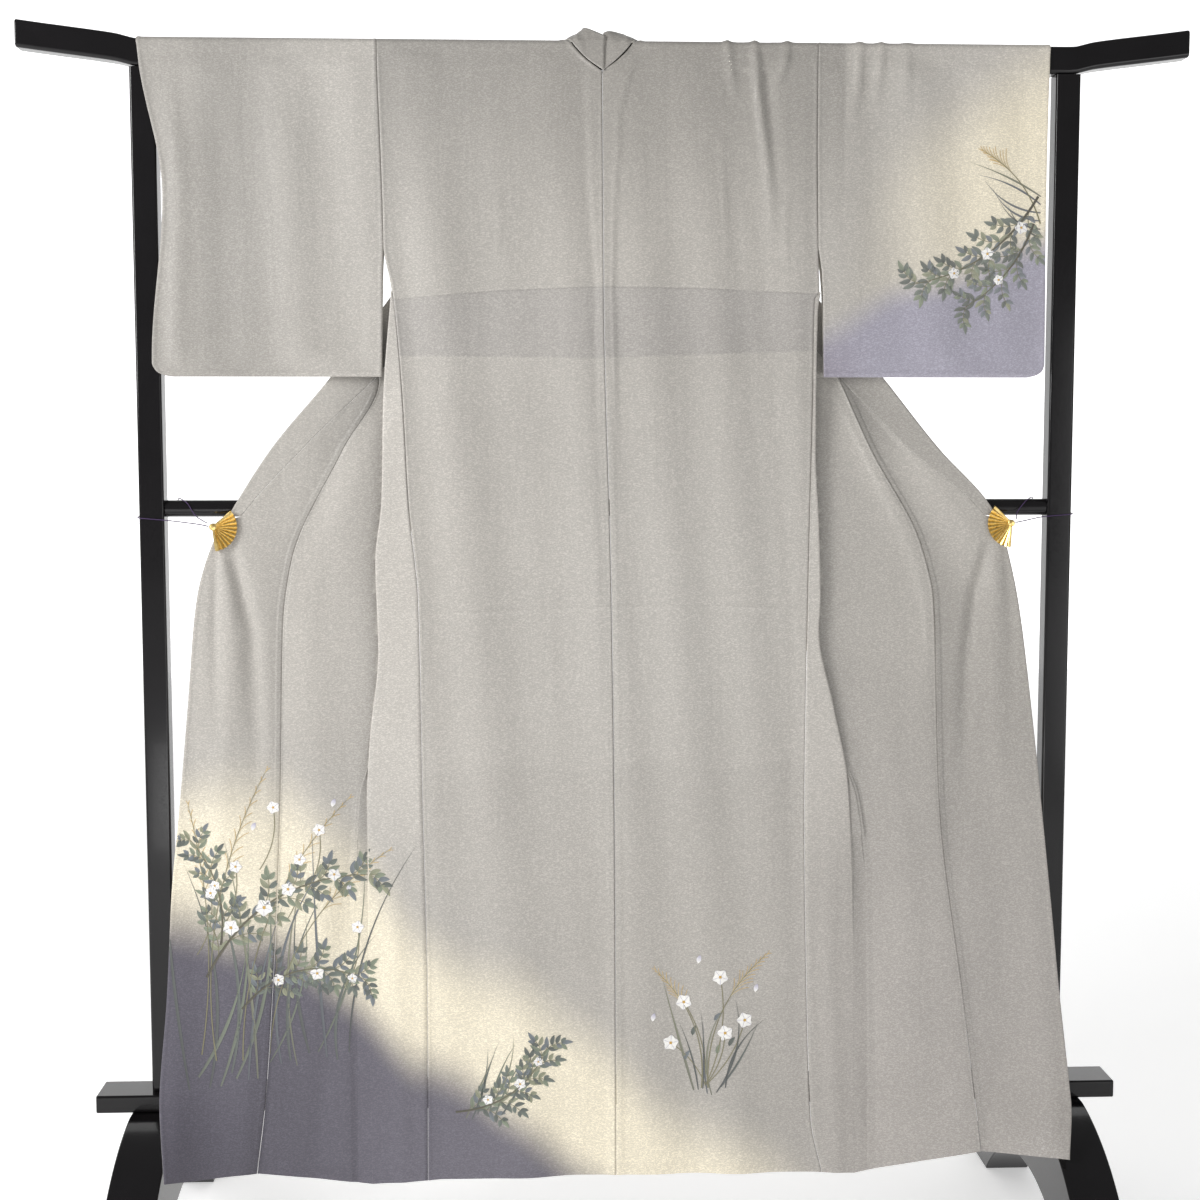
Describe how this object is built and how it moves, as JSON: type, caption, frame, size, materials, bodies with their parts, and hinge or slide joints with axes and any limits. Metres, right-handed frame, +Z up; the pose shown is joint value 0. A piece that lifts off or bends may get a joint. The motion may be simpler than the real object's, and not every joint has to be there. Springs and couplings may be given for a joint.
{
  "type": "silk kimono hung on a lacquered kimono stand",
  "caption": "Formal silk kimono spread on a black lacquer stand, its back to the front, sleeves along the rail and front edges held out by fan clips on cords",
  "frame": {"origin": "on the floor under the middle of the stand: the centre of the part's box in X and Y, at the underside of the feet", "axes": "+Z up, +X along the rails towards the wearer's right sleeve, -Y towards the viewer, who sees the kimono's back"},
  "size_m": [1.724, 0.6298, 1.8462],
  "materials": {
    "silk_crepe": "soft sheen silk crepe, dyed in soft bands of warm grey, ivory and purple-grey",
    "black_lacquer": "wood under glossy black lacquer",
    "fan_clip": "pressed gilt brass, satin",
    "silk_cord": "twisted dark purple cord"
  },
  "bodies": {
    "root": {"back_left": "silk_crepe", "back_right": "silk_crepe", "front_left": "silk_crepe", "front_right": "silk_crepe", "okumi_left": "silk_crepe", "okumi_right": "silk_crepe", "collar_left": "silk_crepe", "collar_right": "silk_crepe", "sleeve_left_back": "silk_crepe", "sleeve_left_front": "silk_crepe", "sleeve_right_back": "silk_crepe", "sleeve_right_front": "silk_crepe", "top_rail": "black_lacquer", "post_left": "black_lacquer", "post_right": "black_lacquer", "mid_rail": "black_lacquer", "cross_board": "black_lacquer", "foot_left": "black_lacquer", "foot_right": "black_lacquer", "clip_left": "fan_clip", "clip_right": "fan_clip", "cord_left": "silk_cord", "cord_right": "silk_cord"}
  },
  "joints": []
}
